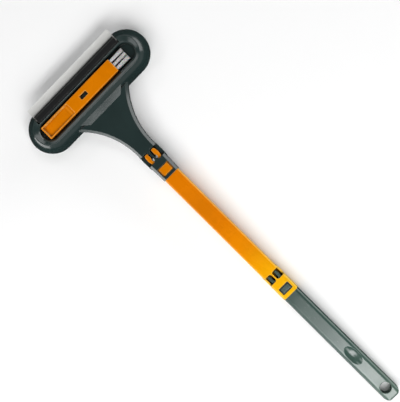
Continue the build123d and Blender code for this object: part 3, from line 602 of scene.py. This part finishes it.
def make_pad(loops):
    """Plush microfibre pad: puffed sides, a flat working face with pile, and a loop-cloth back."""
    low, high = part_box("pad_cloth")
    back_low, back_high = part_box("pad_backing")
    light, dark, stripe = linear(206, 214, 212), linear(120, 134, 132), linear(96, 128, 118)
    pad = pad_form(knitted("pad_microfibre", light, dark, 900.0, 0.5 * MM, stripe))
    puff(pad, back_high.z)
    finer = pad.modifiers.new("finer", "SUBSURF")
    finer.levels = 2
    applied(pad)
    pad.data.materials.append(loops)
    normals = [vertex.normal.copy() for vertex in pad.data.vertices]
    for vertex, normal in zip(pad.data.vertices, normals):
        pile = noise.noise(vertex.co * PILE_SCALE)
        if vertex.co.z < back_low.z - PAD_CAP:
            vertex.co += normal * PILE_LENGTH * pile
        vertex.co = Vector((
            min(max(vertex.co.x, low.x), high.x),
            min(max(vertex.co.y, low.y), high.y),
            min(max(vertex.co.z, low.z + max(0.0, pile) * PILE_LENGTH), back_high.z),
        ))
    for polygon in pad.data.polygons:
        polygon.use_smooth = True
        if polygon.center.z > back_high.z - BACKING_DEPTH:
            polygon.material_index = 1
    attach(pad, "pad")
    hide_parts("pad_cloth", "pad_foam", "pad_backing")


# Edge binding

TAPE_RING = 240
STITCHES = 150
STITCH_RADIUS = 0.22 * MM
STITCH_SHARE = 0.45

# Inset of the tape at shares of its height, round the fold and onto the back
TAPE_PROFILE = [
    (1.5 * MM, 0.05),
    (0.5 * MM, 0.0),
    (0.0, 0.18),
    (0.0, 0.7),
    (0.4 * MM, 0.95),
    (1.4 * MM, 1.0),
    (3.4 * MM, 1.0),
    (3.4 * MM, 0.9),
]

# Places along a stitch, with its width there as a share of its radius
STITCH_STATIONS = [(0.0, 0.3), (0.15, 0.9), (0.85, 0.9), (1.0, 0.3)]


def make_binding():
    """Woven tape folded over the pad's top edge, with a row of stitches."""
    low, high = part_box("pad_binding")
    middle = (low + high) / 2
    length, depth = high.x - low.x, high.y - low.y
    height = high.z - low.z
    rings = []
    for inset, share in TAPE_PROFILE:
        size = 2 * inset
        rings.append(stadium_ring(middle, length - size, depth - size, low.z + height * share, TAPE_RING))
    points, faces = loft(rings, close_ends=False)
    tape = knitted("pad_trim", linear(52, 66, 64), linear(26, 36, 35), 2200.0, 0.1 * MM)
    binding = add_mesh("edge_binding", points, faces, tape)
    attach(binding, "pad")
    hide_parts("pad_binding")
    stitch_points = []
    stitch_faces = []
    places = stadium_ring(middle, length, depth, low.z + height * STITCH_SHARE, 2 * STITCHES)
    for first, second in zip(places[::2], places[1::2]):
        add_stitch(stitch_points, stitch_faces, first, second)
    # The last colour is a painted highlight for the thread's edges; moulded also paints shade where it
    # meets the tape
    thread = moulded("thread", linear(150, 160, 156), 0.6, linear(190, 196, 192))
    stitches = add_mesh("binding_stitches", stitch_points, stitch_faces, thread)
    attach(stitches, "pad")


def add_stitch(points, faces, start, end, sides=6):
    """A short thread with tapered ends."""
    run = end - start
    first = run.cross(Vector((0, 0, 1))).normalized()
    second = run.cross(first).normalized()
    base = len(points)
    for share, width in STITCH_STATIONS:
        for step in range(sides):
            angle = 2 * math.pi * step / sides
            offset = first * math.cos(angle) + second * math.sin(angle)
            points.append(start + run * share + offset * STITCH_RADIUS * width)
    for level in range(len(STITCH_STATIONS) - 1):
        for step in range(sides):
            after = (step + 1) % sides
            low = base + level * sides
            faces.append((low + step, low + after, low + sides + after, low + sides + step))
    faces.append(tuple(base + step for step in reversed(range(sides))))
    top = base + (len(STITCH_STATIONS) - 1) * sides
    faces.append(tuple(top + step for step in range(sides)))


# Brush tufts

TUFT_RADIUS = 1.9 * MM
TUFT_FAN = 0.42
TUFT_COLUMNS = (-1, 0, 1)
TUFT_ROWS = (-0.5, 0.5)
TUFT_PITCH = 6.2 * MM
TUFT_ROW_PITCH = 6.1 * MM
PLATE_THICKNESS = 1.2 * MM
PLATE_MARGIN = 0.2 * MM
STRANDS = 110
STRAND_RADIUS = 0.17 * MM
STRAND_TAPER = 0.7
STRAND_STRAY = 0.25
TIP_SCATTER = 0.9
TUFT_SEED = 11
GOLDEN_ANGLE = math.pi * (3 - math.sqrt(5))


def make_tufts():
    """Six tufts of fine tapered strands that fan out slightly, on their plate."""
    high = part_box("groove_brush_bristles")[1]
    handle_low, handle_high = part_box("groove_brush_handle")
    middle = (handle_low + handle_high) / 2
    middle.x = handle_high.x
    dice = random.Random(TUFT_SEED)
    points = []
    faces = []
    for column in TUFT_COLUMNS:
        for row in TUFT_ROWS:
            centre = middle + Vector((0, column * TUFT_PITCH, row * TUFT_ROW_PITCH))
            for strand in range(STRANDS):
                distance = math.sqrt((strand + 0.5) / STRANDS) * (TUFT_RADIUS - STRAND_RADIUS)
                angle = strand * GOLDEN_ANGLE
                offset = Vector((0, math.cos(angle) * distance, math.sin(angle) * distance))
                stray_y = dice.uniform(-STRAND_STRAY, STRAND_STRAY)
                stray_z = dice.uniform(-STRAND_STRAY, STRAND_STRAY)
                foot = centre + offset - Vector((PLATE_THICKNESS / 2, 0, 0))
                tip = centre + offset * (1 + TUFT_FAN) + Vector((0, stray_y, stray_z)) * MM
                tip.x = high.x - dice.uniform(0, TIP_SCATTER) * MM
                add_strand(points, faces, foot, tip)
    plate_size = Vector((PLATE_THICKNESS, len(TUFT_COLUMNS) * TUFT_PITCH, len(TUFT_ROWS) * TUFT_ROW_PITCH))
    plate_half = plate_size / 2 - Vector((0, PLATE_MARGIN, PLATE_MARGIN))
    add_block(points, faces, middle - Vector((PLATE_THICKNESS / 2, 0, 0)), plate_half)
    tufts = add_mesh("brush_tufts", points, faces, nylon(), smooth=False)
    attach(tufts, "groove_brush")
    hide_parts("groove_brush_bristles")


def add_strand(points, faces, foot, tip, sides=5):
    run = (tip - foot).normalized()
    first = run.cross(Vector((0, 0, 1))).normalized()
    second = run.cross(first)
    base = len(points)
    for place, radius in ((foot, STRAND_RADIUS), (tip, STRAND_RADIUS * STRAND_TAPER)):
        for step in range(sides):
            angle = 2 * math.pi * step / sides
            points.append(place + (first * math.cos(angle) + second * math.sin(angle)) * radius)
    for step in range(sides):
        after = (step + 1) % sides
        faces.append((base + step, base + after, base + sides + after, base + sides + step))
    faces.append(tuple(base + sides + step for step in range(sides)))


def add_block(points, faces, centre, half):
    base = len(points)
    for x in (-1, 1):
        for y in (-1, 1):
            for z in (-1, 1):
                points.append(centre + Vector((x * half.x, y * half.y, z * half.z)))
    for face in ((0, 1, 3, 2), (4, 6, 7, 5), (0, 4, 5, 1), (2, 3, 7, 6), (0, 2, 6, 4), (1, 5, 7, 3)):
        faces.append(tuple(base + corner for corner in face))


# Stage: pale floor, a large soft panel over the grip, soft panels round the head and a dim sky

FLOOR_HALF = 6.0
FLOOR_DARK = (0.93, 0.93, 0.93, 1)
FLOOR_LIGHT = (0.94, 0.94, 0.94, 1)

# Brightness of the sky at shares of the height from straight down to straight up
SKY_LEVELS = [(0.4, 0.04), (0.46, 0.6), (0.54, 0.6), (0.66, 0.15)]

# Soft panels: name, middle, width and height in metres, brightness, lean about Y and tip about X in degrees
PANELS = [
    ("key", (-1.1, -1.05, 2.0), 2.8, 0.85, 7.7, 0, 0),
    ("right", (0.85, 0.75, 2.0), 0.6, 1.0, 3.2, 0, 0),
    ("left", (-1.6, 0.75, 2.0), 1.3, 1.0, 2.8, 0, 0),
    ("far", (-0.2, 2.1, 2.0), 1.4, 0.6, 2.4, 0, 0),
    ("low_left", (-2.2, 0, -0.26), 0.46, 2.4, 4.6, -95, 0),
    ("low_right", (2.2, 0, 0.4), 1.1, 2.4, 3.2, 85, 0),
    ("front", (-0.3, -1.75, 1.75), 1.0, 0.8, 3.4, 0, 42),
]


def make_floor():
    corners = [(-1, -1), (1, -1), (1, 1), (-1, 1)]
    points = [Vector((x * FLOOR_HALF, y * FLOOR_HALF, 0)) for x, y in corners]
    shader = Shader("floor")
    haze = shader.noise(3.0, 2.0)
    shader.set(Base_Color=shader.mix(haze, FLOOR_DARK, FLOOR_LIGHT), Roughness=0.9)
    floor = add_mesh("floor", points, [(0, 1, 2, 3)], shader.material)
    floor.visible_glossy = False
    floor.visible_shadow = False


def add_panel(name, middle, width, height, level, lean, tip):
    """A soft panel with an even brightness, which faces down if it neither leans nor tips."""
    data = bpy.data.lights.new(name, "AREA")
    data.shape = "RECTANGLE"
    data.size = width
    data.size_y = height
    data.energy = level * math.pi * width * height
    light = bpy.data.objects.new(name, data)
    bpy.context.collection.objects.link(light)
    light.location = middle
    light.rotation_euler = (math.radians(tip), math.radians(lean), 0)
    light.visible_camera = False


def make_light():
    world = bpy.data.worlds.new("sky")
    bpy.context.scene.world = world
    world.use_nodes = True
    tree = world.node_tree
    back = tree.nodes["Background"]
    back.inputs["Strength"].default_value = 1.0
    way = tree.nodes.new("ShaderNodeTexCoord").outputs["Generated"]
    split = tree.nodes.new("ShaderNodeSeparateXYZ")
    tree.links.new(way, split.inputs["Vector"])
    height = tree.nodes.new("ShaderNodeMapRange")
    height.inputs["From Min"].default_value = -1.0
    tree.links.new(split.outputs["Z"], height.inputs["Value"])
    ramp = tree.nodes.new("ShaderNodeValToRGB")
    while len(ramp.color_ramp.elements) < len(SKY_LEVELS):
        ramp.color_ramp.elements.new(1.0)
    for element, (place, level) in zip(ramp.color_ramp.elements, SKY_LEVELS):
        element.position = place
        element.color = (level, level, level, 1)
    tree.links.new(height.outputs["Result"], ramp.inputs["Fac"])
    tree.links.new(ramp.outputs["Color"], back.inputs["Color"])
    for values in PANELS:
        add_panel(*values)


make_camera()
loop_cloth = dress_nodes()
make_pad(loop_cloth)
make_binding()
make_tufts()
make_floor()
make_light()
bpy.context.scene.view_settings.view_transform = "Standard"
